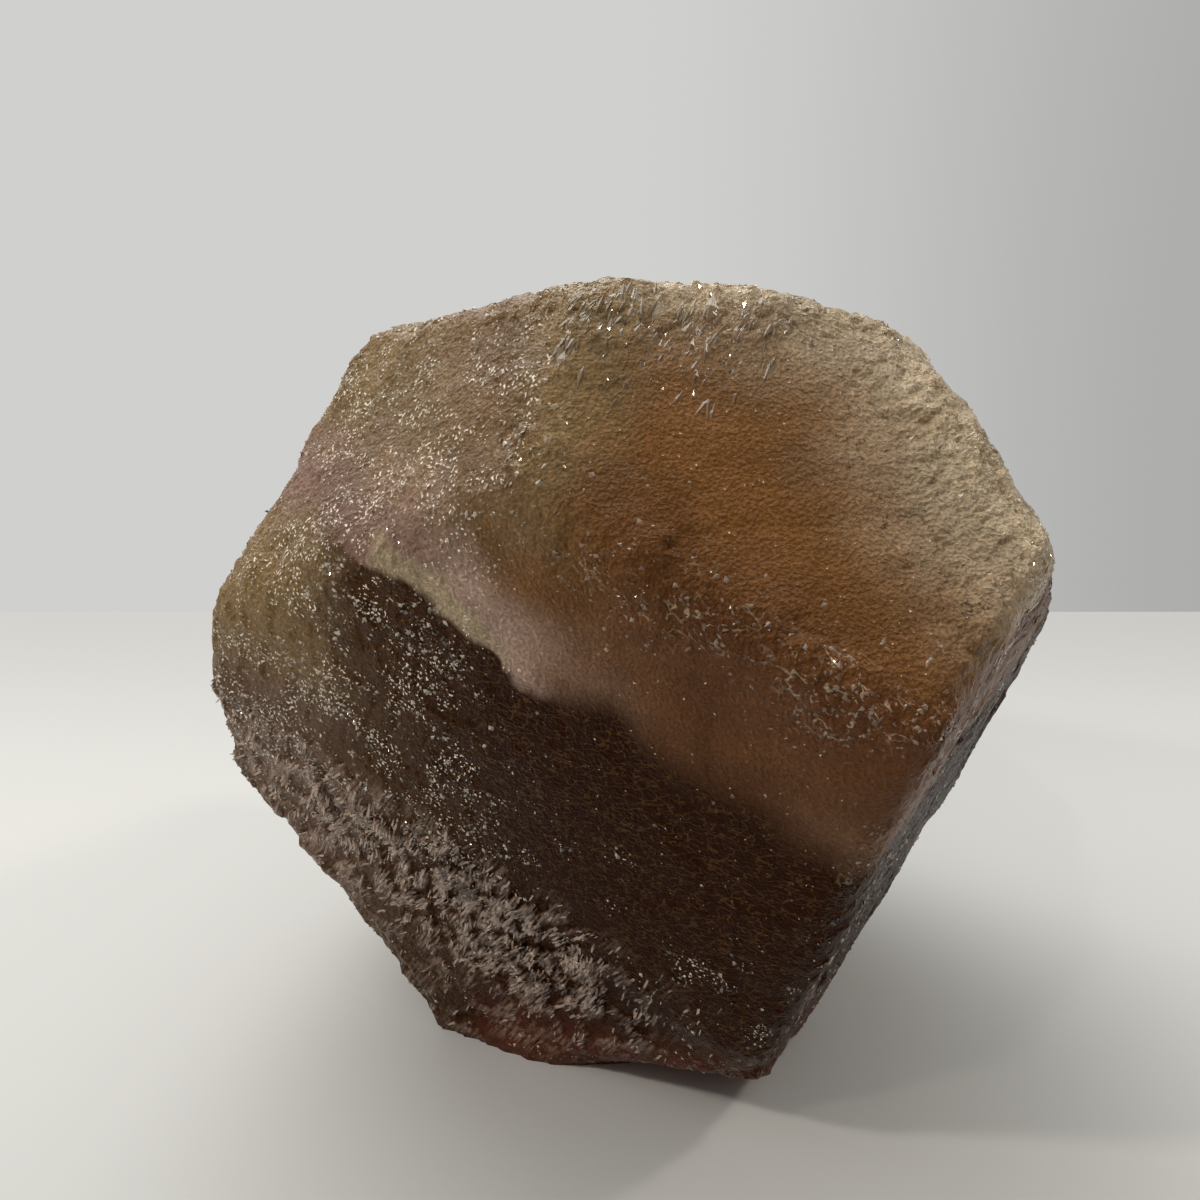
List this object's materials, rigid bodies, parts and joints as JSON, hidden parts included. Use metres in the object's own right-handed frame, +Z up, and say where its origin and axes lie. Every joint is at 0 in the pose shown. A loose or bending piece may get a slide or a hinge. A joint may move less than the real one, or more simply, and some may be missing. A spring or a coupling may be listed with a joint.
{
  "type": "fluorite dodecahedron",
  "caption": "Single frosted fluorite crystal in the form of a slightly uneven rhombic dodecahedron, with rounded etched edges, a growth ledge and a flat worn base.",
  "frame": {"origin": "under the middle of the crystal's box, on the flat base that it rests on", "axes": "+Z up, -Y towards the front of the crystal as it is displayed, +X to the right seen from the front"},
  "size_m": [0.061, 0.0614, 0.0551],
  "materials": {
    "crystal": "natural frosted fluorite: etched, scaly satin surface, translucent honey brown, mauve and olive inside"
  },
  "bodies": {
    "root": {"fluorite_crystal": "crystal"}
  },
  "joints": []
}
